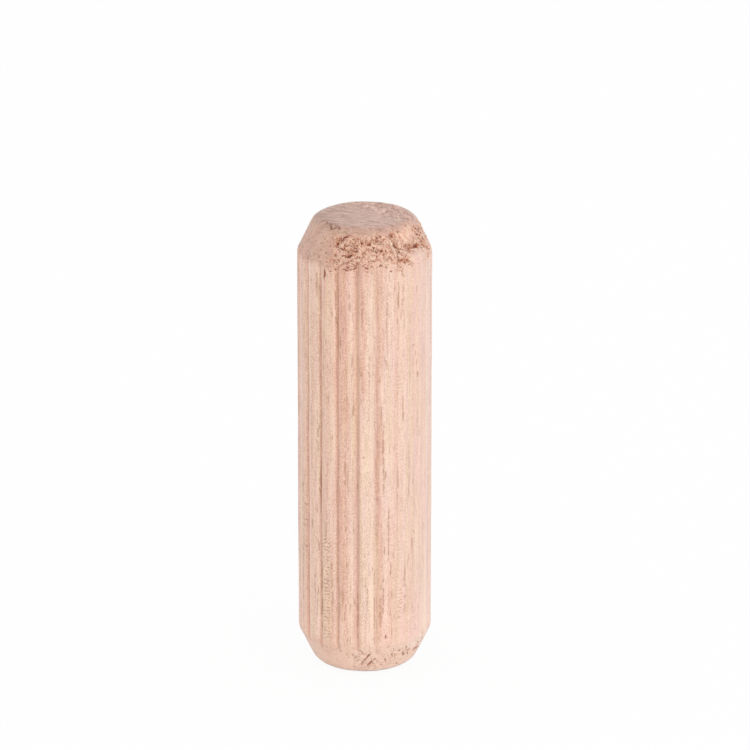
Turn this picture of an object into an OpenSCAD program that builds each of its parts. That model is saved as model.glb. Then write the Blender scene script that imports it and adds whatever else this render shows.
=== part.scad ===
// Fluted wooden dowel pin, turned from one piece of straight-grained hardwood.
// It stands on one end: the origin is the middle of that end and +Z runs along the pin.

/* [Pin] */
// Diameter across the lands, the round strips left between the flutes
pin_diameter = 10; // [6:0.5:16]
// Length from end to end
pin_length = 35; // [20:0.5:80]

/* [Ends] */
// Length of each end chamfer along the pin
chamfer_length = 2.7; // [1:0.1:4]
// How far each chamfer narrows the pin, measured on the radius
chamfer_inset = 1.3; // [0.4:0.1:2]
// Radius of the worn edge between a chamfer and its end face
end_edge_radius = 1.1; // [0.2:0.1:1.4]
// Radius of the eased shoulder between the shaft and a chamfer
shoulder_radius = 0.8; // [0.2:0.1:3]

/* [Flutes] */
// Number of flutes round the pin, which let air and glue out of the hole
flute_count = 21; // [8:1:28]
// Angle of the first flute from +X
flute_start = 5.6; // [0:0.1:17]
// Width of a flute's round-bottomed channel
flute_width = 0.4; // [0.3:0.01:0.5]
// Depth of a flute below the lands
flute_depth = 0.2; // [0.1:0.01:0.25]
// Width over a flute's crushed lips, where the lands roll over into it
lip_width = 0.62; // [0.55:0.01:0.65]
// How far the lips drop below the lands where the channel starts
lip_drop = 0.04; // [0.02:0.01:0.08]

/* [Colour] */
// Colour of the bare wood
wood_colour = "#E9C3AF"; // ["#E9C3AF":Steamed beech, "#EBD6B4":White beech, "#E3C9A0":Birch]

/* [Hidden] */
$fn = 96;
land_radius = pin_diameter / 2;
end_radius = land_radius - chamfer_inset;
arc_steps = 6;
flute_overrun = 1;

// A vector of length 1 along v
function unit(v) = v / norm(v);

// Points of the arc that rounds corner b of the outline a, b, c, from the side of a to the side of c.
// The arc keeps to the near half of each side, so that two arcs never meet.
function rounded_corner(a, b, c, radius) =
    let (
        to_a = unit(a - b),
        to_c = unit(c - b),
        half_angle = acos(to_a * to_c) / 2,
        room = min(norm(a - b), norm(c - b)) / 2,
        reach = min(radius / tan(half_angle), room),
        r = reach * tan(half_angle),
        centre = b + unit(to_a + to_c) * r / sin(half_angle),
        spoke_a = b + to_a * reach - centre,
        spoke_c = b + to_c * reach - centre,
        start = atan2(spoke_a.y, spoke_a.x),
        stop = atan2(spoke_c.y, spoke_c.x)
    )
    [for (i = [0:arc_steps]) centre + r * [
        cos(start + (stop - start) * i / arc_steps),
        sin(start + (stop - start) * i / arc_steps)
    ]];

// Radius of the circle that passes through both lips of a channel and touches its floor
function channel_radius(width, depth) =
    let (
        half_width = width / 2,
        lip_height = sqrt(land_radius * land_radius - half_width * half_width),
        sag = lip_height - (land_radius - depth)
    )
    (half_width * half_width + sag * sag) / (2 * sag);

// Half outline of the lower end: end face, eased edge, chamfer, eased shoulder
function end_outline() =
    let (
        middle = [0, 0],
        rim = [end_radius, 0],
        shoulder = [land_radius, chamfer_length],
        shaft = [land_radius, pin_length / 2]
    )
    concat(
        [middle],
        rounded_corner(middle, rim, shoulder, end_edge_radius),
        rounded_corner(rim, shoulder, shaft, shoulder_radius)
    );

// Turned blank: a round shaft with the same chamfer at both ends
module blank() {
    lower = end_outline();
    upper = [for (i = [len(lower) - 1:-1:0]) [lower[i].x, pin_length - lower[i].y]];
    rotate_extrude()
        polygon(concat(lower, upper));
}

// Round-bottomed channel of this width and depth, cut into the lands at +X
module channel(width, depth) {
    r = channel_radius(width, depth);
    translate([land_radius - depth + r, 0])
        circle(r = r);
}

// One flute, pressed along the whole pin: a narrow channel with rolled-over lips
module flute() {
    translate([0, 0, -flute_overrun])
        linear_extrude(height = pin_length + 2 * flute_overrun) {
            channel(flute_width, flute_depth);
            channel(lip_width, lip_drop);
        }
}

// The whole pin
module dowel() {
    color(wood_colour)
        difference() {
            blank();
            for (i = [0:flute_count - 1])
                rotate([0, 0, flute_start + i * 360 / flute_count])
                    flute();
        }
}

dowel();
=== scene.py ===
import math

import bpy
from mathutils import Matrix, Vector


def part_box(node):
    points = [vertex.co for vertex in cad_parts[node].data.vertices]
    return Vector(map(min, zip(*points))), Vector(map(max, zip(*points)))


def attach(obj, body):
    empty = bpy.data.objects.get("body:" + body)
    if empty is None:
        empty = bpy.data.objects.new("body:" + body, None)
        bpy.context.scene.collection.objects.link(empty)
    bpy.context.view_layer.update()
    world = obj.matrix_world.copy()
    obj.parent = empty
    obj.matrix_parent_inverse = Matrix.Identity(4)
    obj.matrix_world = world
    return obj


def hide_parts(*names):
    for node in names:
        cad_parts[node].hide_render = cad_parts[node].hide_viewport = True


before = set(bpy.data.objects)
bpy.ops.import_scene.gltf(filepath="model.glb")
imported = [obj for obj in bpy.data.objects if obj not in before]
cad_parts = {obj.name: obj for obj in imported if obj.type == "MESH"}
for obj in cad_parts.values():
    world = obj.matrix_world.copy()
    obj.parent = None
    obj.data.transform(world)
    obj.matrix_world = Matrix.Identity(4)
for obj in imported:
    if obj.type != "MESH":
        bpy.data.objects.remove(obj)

bl_info = {
    "name": "Fluted dowel pin",
    "version": (1, 0, 0),
    "blender": (4, 5, 0),
    "location": "3D View > Sidebar > Dowel",
    "description": "Builds a fluted wooden dowel pin with torn, chamfered ends, and its studio",
    "category": "Object",
}

MM = 0.001
NODE = "dowel"
BODY = "root"
PIN = "fluted_pin"
FIBRES = "torn_fibres"

CAD_LOW, CAD_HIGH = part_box(NODE)
CAD_LENGTH = CAD_HIGH.z - CAD_LOW.z
LENGTH_MM = CAD_LENGTH / MM
RADIUS_MM = 5.0

# Names of the values that the mesh keeps at each point
PLACE = "place"
FLUTE = "flute"
TEAR = "tear"
LIFT = "lift"
HOLLOW = "hollow"
TORN = "torn"
TONE = "tone"
SEAM = "seam"
BAND_COLOURS = ("rosy", "sallow", "bright")

# Stretches round the pin: from, to and width of the soft borders, in degrees from the front
TORN_FRONT = (-34.0, 95.0, 18.0)
FRAYED_MIDDLE = (-14.0, 12.0, 10.0)
FRAYED_RIGHT = (20.0, 68.0, 12.0)
FRAYED_RIM = (-34.0, -8.0, 8.0)
# Flakes: a stretch round the pin, and one in millimetres from its end
HIGH_FLAKE = ((36.0, 66.0, 8.0), (0.2, 1.15, 0.4))
LOW_FLAKE = ((43.0, 64.0, 8.0), (1.85, 2.7, 0.4))

# Relief of the torn wood and the lands, in millimetres
CRUMB_DEPTH = 0.10
LUMP_DEPTH = 0.09
TEAR_DEPTH = 0.22
HOLLOW_DEPTH = 0.16
LIFT_HEIGHT = 0.10
SWELL_HEIGHT = 0.06
STROKE_RAGGEDNESS = 0.28

# Sizes across a flute. Its deepest line is at its full depth in its core, and a burr on its crest.
FLUTE_WANDER = 0.14 * MM
LINE_REACH = 0.17 * MM
LINE_CORE = 0.02 * MM
BURR_HEIGHT = 0.03 * MM
BURR_REACH = 0.15 * MM
BURR_CREST = 0.03 * MM
BURR_GAP = 0.10 * MM
WIDEST_FOR_BURR = 0.20 * MM
RIM_BLEND = 0.03 * MM
FLUTE_EDGE = 0.12 * MM
# Where a flute grows to its full depth: distances from the upper end, and depths as shares
FLUTE_FADE = (2.6 * MM, 4.5 * MM, 0.7, 1.0)

# How wide a stroke is at its ends and at its bend, as shares of its width
STROKE_TIP = 0.25
STROKE_BELLY = 1.6
POINTS_ON_TEAR = 40
POINTS_ON_CRACK = 120
MERGE_DISTANCE = 1e-7

# Torn strokes: start, bend and stop, each an azimuth in degrees from the front and a
# distance in millimetres along the surface from the middle of the end face, and a width
UPPER_TEARS = (
    ((-25, 4.66), (-22, 4.04), (-14.5, 4.04), 0.10),
    ((-29, 4.94), (-28.3, 4.77), (-27.8, 4.66), 0.12),
    ((-28, 6.10), (-27.5, 5.99), (-27, 5.88), 0.09),
    ((-29, 5.69), (-28, 5.66), (-26.5, 5.72), 0.06),
    ((-26.5, 5.08), (-20, 5.04), (-16.5, 5.24), 0.08),
    ((-18, 5.72), (-14.5, 5.77), (-12.8, 5.33), 0.15),
    ((-21.5, 5.38), (-19.5, 5.55), (-17, 5.61), 0.06),
    ((-15.5, 5.94), (-15, 6.74), (-11, 6.64), 0.08),
    ((-11, 6.64), (-7.5, 6.64), (-7.3, 5.88), 0.08),
    ((-20, 6.50), (-14.5, 6.80), (-9, 6.48), 0.09),
    ((-2, 6.10), (0, 6.16), (2.5, 6.08), 0.06),
    ((-1, 6.38), (1, 6.44), (3.5, 6.36), 0.07),
    ((1, 6.66), (2.5, 6.72), (4, 6.66), 0.07),
    ((12.5, 6.26), (13.5, 6.32), (15, 6.24), 0.08),
    ((17.5, 6.34), (18.5, 6.42), (20, 6.38), 0.07),
    ((-31.5, 6.82), (-30.5, 6.92), (-29.5, 6.86), 0.07),
    ((-26.8, 6.62), (-26, 6.70), (-25, 6.66), 0.08),
    ((-26.5, 6.24), (-25.5, 6.30), (-24.5, 6.26), 0.07),
    ((-11.5, 4.83), (-10, 4.66), (-8.5, 4.72), 0.09),
    ((-8.5, 5.22), (-7.5, 5.11), (-6.5, 5.16), 0.08),
    ((-4.8, 4.50), (-3.2, 4.61), (-1.8, 4.53), 0.11),
    ((2.5, 4.72), (4.5, 4.66), (6.5, 4.57), 0.11),
    ((0.5, 5.36), (1.5, 5.39), (2.7, 5.33), 0.09),
    ((8, 5.05), (9, 4.94), (10, 4.99), 0.10),
    ((9.5, 5.38), (14, 4.99), (20.3, 5.33), 0.09),
    ((19.5, 5.33), (21.5, 5.27), (20.5, 4.99), 0.08),
    ((12.5, 4.10), (14, 4.33), (15.5, 4.61), 0.06),
    ((16, 3.98), (17, 4.16), (17.3, 4.27), 0.07),
    ((19.5, 4.22), (20.5, 4.24), (21.5, 4.31), 0.07),
    ((22, 6.74), (22.7, 6.79), (23.5, 6.84), 0.10),
    ((13, 6.22), (14, 6.16), (15, 6.33), 0.08),
    ((5, 5.77), (6.5, 5.99), (8, 5.88), 0.06),
    ((-36.3, 6.74), (-36.6, 7.09), (-36.3, 7.49), 0.10),
    ((26.5, 4.27), (28.5, 4.13), (31, 4.24), 0.17),
    ((28.5, 4.55), (29.5, 5.05), (33, 5.16), 0.12),
    ((32, 5.11), (35, 5.22), (38.5, 5.35), 0.10),
    ((31, 5.66), (33, 5.38), (36, 5.55), 0.09),
    ((30.5, 6.16), (30.7, 5.88), (32.5, 5.66), 0.09),
    ((33, 6.16), (36, 5.94), (38, 6.10), 0.08),
    ((38, 6.05), (43, 5.99), (42, 6.44), 0.09),
    ((42.5, 6.44), (41, 6.54), (39.5, 6.44), 0.08),
    ((32, 6.54), (32.8, 6.59), (33.2, 6.74), 0.06),
    ((33.5, 6.84), (34, 6.89), (34.3, 6.99), 0.07),
    ((34.8, 7.24), (35.5, 7.34), (36, 7.44), 0.08),
    ((37.5, 3.98), (38.5, 4.02), (39.5, 3.98), 0.10),
    ((41.5, 5.05), (45, 5.22), (50, 5.33), 0.11),
    ((44.5, 5.27), (46, 5.38), (47.5, 5.44), 0.10),
    ((52, 5.33), (56, 5.48), (61, 5.35), 0.16),
    ((56, 5.22), (58.5, 5.39), (60.5, 5.49), 0.20),
    ((68, 5.05), (69.4, 5.45), (70, 5.90), 0.22),
    ((73, 4.50), (76, 4.62), (79, 4.90), 0.09),
    ((60.6, 3.90), (62.5, 4.50), (71.5, 4.90), 0.10),
    ((66, 4.00), (69, 4.30), (75, 4.50), 0.08),
    ((75, 4.90), (77, 5.30), (80, 5.60), 0.10),
    ((73.5, 5.77), (77, 6.00), (81, 6.28), 0.12),
    ((67, 4.62), (71, 4.76), (75, 4.98), 0.12),
    ((-53, 4.50), (-51.5, 4.50), (-50.5, 4.55), 0.07),
    ((-48.5, 4.94), (-47.5, 4.99), (-46.5, 4.88), 0.06),
    ((-46, 5.99), (-45, 5.94), (-44, 6.05), 0.05),
    ((-46, 3.46), (-41, 3.92), (-35.5, 3.56), 0.13),
    ((-33, 3.42), (-31.5, 3.60), (-31, 3.72), 0.15),
    ((-50, 3.30), (-48.5, 3.40), (-46.5, 3.36), 0.10),
    ((-58, 3.30), (-55.5, 3.40), (-52.5, 3.34), 0.08),
    ((-39, 5.55), (-38.5, 5.61), (-38, 5.66), 0.06),
)
LOWER_TEARS = (
    ((1.5, 5.10), (3, 5.45), (5, 5.75), 0.13),
    ((3.5, 4.30), (5, 4.66), (8.0, 5.05), 0.15),
    ((7.5, 4.99), (9.5, 5.30), (11.5, 4.94), 0.09),
    ((-10, 4.90), (-6, 5.15), (-3, 5.00), 0.08),
    ((-4, 4.45), (-2.5, 4.77), (-1, 5.05), 0.09),
    ((-2, 4.88), (0, 5.10), (1.5, 5.50), 0.08),
    ((-5, 6.20), (-3, 6.00), (-1, 5.80), 0.07),
    ((-24, 5.95), (-22.5, 5.85), (-21.5, 5.65), 0.08),
    ((-31, 4.90), (-30, 4.95), (-28.5, 4.80), 0.07),
    ((44, 5.55), (47, 5.12), (52, 5.52), 0.17),
    ((46, 5.20), (48, 5.05), (50, 4.85), 0.12),
    ((54, 5.16), (61, 5.06), (71, 4.88), 0.24),
    ((39.5, 5.40), (41.5, 5.20), (43, 4.95), 0.12),
    ((31.5, 5.74), (34, 5.66), (36.5, 5.50), 0.12),
    ((35.5, 4.25), (37, 4.35), (38.5, 4.20), 0.10),
    ((20, 5.30), (21, 4.95), (22, 4.70), 0.07),
    ((15, 5.60), (16.5, 5.50), (18, 5.35), 0.06),
    ((26, 6.10), (27.5, 5.95), (29, 5.75), 0.06),
    ((17.5, 7.04), (18.5, 7.29), (19, 7.44), 0.12),
    ((56, 5.84), (59, 5.78), (63, 5.66), 0.14),
    ((50, 6.34), (53, 6.16), (55, 5.98), 0.06),
    ((40, 6.05), (42, 5.90), (44, 5.65), 0.10),
    ((30, 5.20), (31.5, 5.05), (33, 4.85), 0.08),
    ((25, 5.55), (26.5, 5.45), (28, 5.25), 0.07),
    ((62, 6.20), (65, 6.05), (68, 5.85), 0.10),
    ((10.5, 5.95), (12, 6.10), (13.5, 6.00), 0.07),
    ((-13, 5.55), (-11.5, 5.70), (-10, 5.60), 0.07),
)
# Raised fibres that stand between the tears
UPPER_LIFTS = (
    ((25.5, 4.30), (28, 5.0), (31, 6.40), 0.16),
    ((33, 5.35), (37, 5.40), (43, 5.62), 0.12),
    ((-27, 5.05), (-22, 5.30), (-18, 5.30), 0.10),
    ((-13, 5.75), (-12, 5.70), (-11, 5.55), 0.12),
    ((62, 4.60), (66, 5.20), (68, 6.00), 0.12),
    ((12, 4.70), (15, 4.85), (19, 4.80), 0.10),
    ((-42.5, 3.46), (-40, 3.62), (-37.5, 3.48), 0.13),
    ((-74, 3.46), (-72.5, 3.54), (-70.5, 3.60), 0.13),
)

# Knots and nicks on the shaft: azimuth and height of the middle, half width in degrees, half
# height in millimetres, and strength
SPECKS = (
    (-36.3, 31.6, 1.4, 0.45, 0.6),
    (33.5, 31.7, 1.2, 0.25, 0.6),
    (29.5, 29.6, 1.0, 0.50, 0.45),
    (32.0, 28.6, 0.9, 0.70, 0.35),
    (18.8, 28.2, 0.8, 2.20, 0.30),
    (18.5, 24.8, 0.9, 0.50, 0.45),
    (-44.5, 30.8, 0.9, 1.30, 0.40),
    (-3.0, 24.2, 1.3, 0.30, 0.50),
    (-20.5, 26.6, 1.0, 0.50, 0.35),
    (13.0, 23.7, 1.2, 0.40, 0.35),
    (46.0, 26.0, 1.8, 0.12, 0.45),
    (51.5, 23.6, 1.7, 0.28, 0.65),
    (50.0, 24.6, 0.8, 0.45, 0.50),
    (-57.0, 21.3, 1.3, 0.50, 0.60),
    (-63.0, 13.1, 3.5, 0.12, 0.60),
    (-67.0, 14.6, 2.0, 0.25, 0.50),
    (-62.0, 11.9, 2.0, 0.12, 0.45),
    (-64.0, 11.4, 3.0, 0.12, 0.45),
    (-63.0, 9.8, 3.0, 0.13, 0.60),
    (-58.5, 18.4, 1.2, 0.25, 0.45),
    (-47.8, 9.1, 0.9, 0.15, 0.40),
    (45.5, 12.8, 1.0, 0.13, 0.60),
    (45.5, 13.5, 1.0, 0.12, 0.40),
    (46.5, 11.4, 1.3, 0.15, 0.35),
    (30.5, 4.8, 2.0, 0.12, 0.45),
    (-3.5, 28.9, 1.2, 0.14, 0.35),
    (-32.3, 22.2, 0.8, 0.40, 0.45),
)

# Thin broken cracks along the grain: start, bend and stop, each an azimuth and a height on the
# shaft, and a width
SEAMS = (
    ((-48.5, 5.6), (-46.8, 7.4), (-48.8, 8.9), 0.09),
    ((-44.6, 17.2), (-43.2, 18.8), (-45.6, 20.6), 0.08),
    ((-45.0, 29.6), (-45.8, 30.8), (-45.0, 31.9), 0.09),
    ((-42.4, 13.2), (-42.8, 15.2), (-41.8, 17.4), 0.09),
    ((-35.6, 10.8), (-34.4, 12.2), (-35.2, 13.8), 0.08),
    ((-29.4, 3.4), (-28.2, 6.2), (-29.4, 9.2), 0.10),
    ((-25.8, 27.6), (-25.2, 30.0), (-26.4, 32.2), 0.08),
    ((-20.8, 24.2), (-21.6, 27.0), (-20.2, 29.6), 0.06),
    ((-19.4, 5.6), (-18.6, 6.6), (-19.2, 7.8), 0.09),
    ((-17.2, 13.2), (-16.4, 15.8), (-17.6, 18.8), 0.06),
    ((-14.8, 8.4), (-15.2, 9.0), (-14.4, 9.8), 0.10),
    ((-13.8, 13.6), (-14.6, 15.6), (-14.0, 18.2), 0.06),
    ((-13.2, 28.2), (-12.6, 30.0), (-13.6, 31.8), 0.07),
    ((-12.8, 5.0), (-12.0, 6.6), (-12.8, 8.4), 0.09),
    ((-10.2, 20.6), (-9.6, 21.6), (-10.0, 22.6), 0.09),
    ((-2.8, 26.8), (-2.0, 29.4), (-3.0, 32.0), 0.07),
    ((4.0, 22.8), (4.4, 24.2), (3.8, 25.8), 0.07),
    ((13.6, 2.8), (13.0, 5.2), (14.0, 8.0), 0.08),
    ((8.4, 3.0), (9.0, 6.0), (8.2, 9.0), 0.07),
    ((24.0, 3.2), (24.6, 5.0), (23.8, 7.4), 0.07),
    ((36.4, 4.5), (37.2, 7.0), (36.4, 10.0), 0.06),
    ((21.0, 9.5), (21.4, 11.5), (20.8, 14.0), 0.07),
    ((41.0, 14.0), (41.8, 16.0), (41.0, 18.5), 0.06),
    ((-6.4, 3.2), (-5.8, 5.5), (-6.6, 7.5), 0.07),
    ((-22.6, 4.0), (-22.0, 6.0), (-23.0, 8.4), 0.07),
    ((-41.8, 3.2), (-41.4, 6.0), (-42.0, 10.5), 0.09),
    ((-66.8, 3.2), (-67.4, 9.0), (-66.6, 17.0), 0.14),
    ((16.2, 5.0), (15.6, 6.8), (16.4, 8.6), 0.10),
    ((16.0, 14.8), (16.6, 17.6), (15.6, 20.8), 0.08),
    ((18.8, 27.2), (19.4, 29.2), (19.0, 31.4), 0.09),
    ((29.4, 14.0), (29.8, 15.8), (29.2, 17.4), 0.08),
    ((29.0, 29.2), (30.4, 30.4), (30.2, 31.4), 0.10),
    ((32.8, 28.6), (33.2, 29.6), (32.6, 30.6), 0.07),
    ((34.4, 20.1), (34.8, 21.2), (34.4, 22.4), 0.08),
    ((45.0, 9.6), (45.4, 10.8), (44.8, 11.8), 0.09),
    ((51.2, 18.6), (50.4, 19.6), (51.4, 20.6), 0.08),
    ((72.0, 12.0), (73.0, 16.0), (71.5, 20.0), 0.08),
    ((110.0, 6.0), (111.0, 11.0), (109.5, 15.0), 0.08),
    ((128.0, 16.0), (129.5, 20.0), (128.5, 26.0), 0.09),
    ((152.0, 5.0), (151.0, 8.0), (152.5, 12.0), 0.08),
    ((171.0, 18.0), (172.0, 21.0), (171.5, 27.0), 0.08),
    ((-168.0, 8.0), (-167.0, 12.0), (-168.5, 15.0), 0.09),
    ((-147.0, 19.0), (-148.0, 24.0), (-146.5, 28.0), 0.08),
    ((-128.0, 6.0), (-127.0, 9.0), (-128.0, 13.0), 0.08),
    ((-105.0, 15.0), (-104.0, 20.0), (-105.5, 24.0), 0.08),
    ((-86.0, 22.0), (-85.0, 25.0), (-86.0, 29.0), 0.08),
)

# Bands of differently coloured wood: azimuth and half width, lowest and highest point,
# colour, and strength
BANDS = (
    (-67.0, 3.5, 3.0, 20.0, "rosy", 0.25),
    (-63.0, 4.0, 20.0, 32.0, "bright", 0.30),
    (-46.5, 3.0, 3.0, 24.0, "bright", 0.35),
    (-30.8, 0.9, 3.0, 14.0, "bright", 0.70),
    (-26.3, 0.9, 3.0, 14.0, "bright", 0.60),
    (-53.0, 3.0, 17.0, 31.0, "sallow", 0.25),
    (-29.0, 5.0, 15.0, 26.0, "rosy", 0.20),
    (-35.0, 4.5, 2.5, 12.0, "sallow", 0.30),
    (-34.0, 3.0, 26.0, 31.0, "sallow", 0.30),
    (-28.0, 2.5, 2.5, 15.0, "rosy", 0.35),
    (-19.0, 5.0, 20.0, 34.0, "rosy", 0.55),
    (-20.0, 3.0, 5.0, 16.0, "rosy", 0.40),
    (-12.0, 2.5, 15.0, 27.0, "sallow", 0.20),
    (-12.0, 20.0, 31.4, 34.0, "rosy", 0.55),
    (0.5, 4.0, 3.0, 22.0, "bright", 0.60),
    (3.5, 2.0, 21.0, 31.0, "bright", 0.45),
    (-2.0, 1.6, 22.5, 32.0, "rosy", 0.55),
    (-36.5, 2.6, 12.0, 33.0, "rosy", 0.40),
    (12.5, 2.2, 4.0, 32.0, "rosy", 0.50),
    (18.0, 3.0, 3.0, 22.0, "bright", 0.50),
    (33.0, 4.0, 16.0, 31.0, "bright", 0.25),
    (41.5, 3.0, 4.0, 31.0, "sallow", 0.35),
    (92.0, 7.0, 4.0, 24.0, "rosy", 0.40),
    (118.0, 5.0, 10.0, 31.0, "sallow", 0.40),
    (143.0, 4.0, 3.0, 28.0, "bright", 0.50),
    (165.0, 6.0, 12.0, 32.0, "rosy", 0.40),
    (-158.0, 5.0, 3.0, 22.0, "sallow", 0.45),
    (-134.0, 5.0, 6.0, 31.0, "bright", 0.45),
    (-112.0, 6.0, 3.0, 26.0, "rosy", 0.40),
    (-97.0, 4.0, 9.0, 31.0, "sallow", 0.40),
    # The last band, rosy at full strength, darkens the shaft along its left edge as seen from the
    # front
    (-84.5, 4.0, 8.0, 32.0, "rosy", 1.00),
)

# Strips of short nicks, one above another: first and last azimuth, lowest and highest point,
# pitch in millimetres, slant and strength
NICKS = (
    (-38.5, -31.5, 2.9, 11.2, 0.27, 0.30, 1.0),
    (28.0, 35.0, 22.0, 24.6, 0.30, -0.15, 0.35),
    (28.0, 36.0, 17.4, 20.0, 0.26, -0.10, 0.25),
    (29.0, 35.0, 5.0, 7.2, 0.28, 0.35, 0.60),
)

# Hollows under lifted flakes on the upper chamfer: azimuth and distance from the end of the
# middle, half width in degrees, half height in millimetres, and depth as a share
# The material also paints shadow into each hollow, darker where it is deeper
HOLLOWS = (
    (50.0, 1.50, 13.0, 0.28, 0.45),
    (44.0, 1.45, 4.5, 0.26, 0.60),
    (60.0, 1.68, 4.8, 0.19, 1.00),
    (70.5, 1.65, 2.6, 0.45, 0.85),
    (28.5, 0.62, 3.2, 0.18, 0.80),
    (31.0, 1.20, 2.2, 0.28, 0.55),
    (37.0, 2.30, 7.5, 0.26, 0.45),
    (-14.0, 1.78, 5.0, 0.22, 0.70),
    (-21.0, 1.42, 7.0, 0.13, 0.45),
    (-28.0, 1.12, 2.6, 0.17, 0.45),
    (-24.0, 0.78, 5.0, 0.14, 0.40),
    (-3.0, 0.92, 2.5, 0.12, 0.55),
    (4.0, 1.00, 3.0, 0.15, 0.45),
    (15.0, 1.52, 6.0, 0.13, 0.40),
)

# How each flute was pressed, going round from the first: its depth and width as shares, where
# its deepest line lies, from -1 at one lip to 1 at the other, and the burr beside its far lip,
# which is below 0 where it stands beside the near one
FLUTES = (
    (0.60, 1.0, 0.5, 0.3), (0.90, 1.0, -0.6, 0.6), (1.00, 0.9, 0.0, -0.4), (0.80, 1.1, 0.7, 0.8),
    (1.00, 1.0, 0.3, 0.3), (0.70, 0.9, -0.7, -0.6), (1.00, 1.1, 0.6, 0.2), (0.90, 0.9, 0.0, 0.7),
    (1.00, 1.0, -0.5, -0.5), (0.85, 1.0, 0.6, 0.5), (1.00, 0.9, 0.2, 0.3), (0.90, 0.9, -0.2, 1.6),
    (0.80, 1.1, 0.2, 0.9), (0.76, 0.9, -0.3, 0.1), (0.68, 0.9, 0.4, -0.3), (0.92, 1.6, 0.7, -0.35),
    (0.58, 1.5, 0.0, -0.3), (0.16, 1.2, 0.5, 0.3), (0.12, 1.1, 0.0, 0.0), (0.20, 1.2, -0.5, 0.4),
    (0.35, 1.0, 0.4, 0.3),
)


# Node trees written as Python expressions


def sum_of(values):
    """The sum of some numbers or sockets."""
    total = 0.0
    for value in values:
        total = value + total
    return total


class Value:
    """A socket that gives a number, a vector or a colour. Python's operators add Math nodes."""

    def __init__(self, graph, socket):
        self.graph = graph
        self.socket = socket

    def __add__(self, other):
        return self.graph.math("ADD", self, other)

    __radd__ = __add__

    def __sub__(self, other):
        return self.graph.math("SUBTRACT", self, other)

    def __rsub__(self, other):
        return self.graph.math("SUBTRACT", other, self)

    def __mul__(self, other):
        return self.graph.math("MULTIPLY", self, other)

    __rmul__ = __mul__

    def __truediv__(self, other):
        return self.graph.math("DIVIDE", self, other)

    def __rtruediv__(self, other):
        return self.graph.math("DIVIDE", other, self)


def opaque(colour):
    """A plain colour with full alpha; a socket's value as it is."""
    return colour if isinstance(colour, Value) else (*colour[:3], 1.0)


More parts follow.
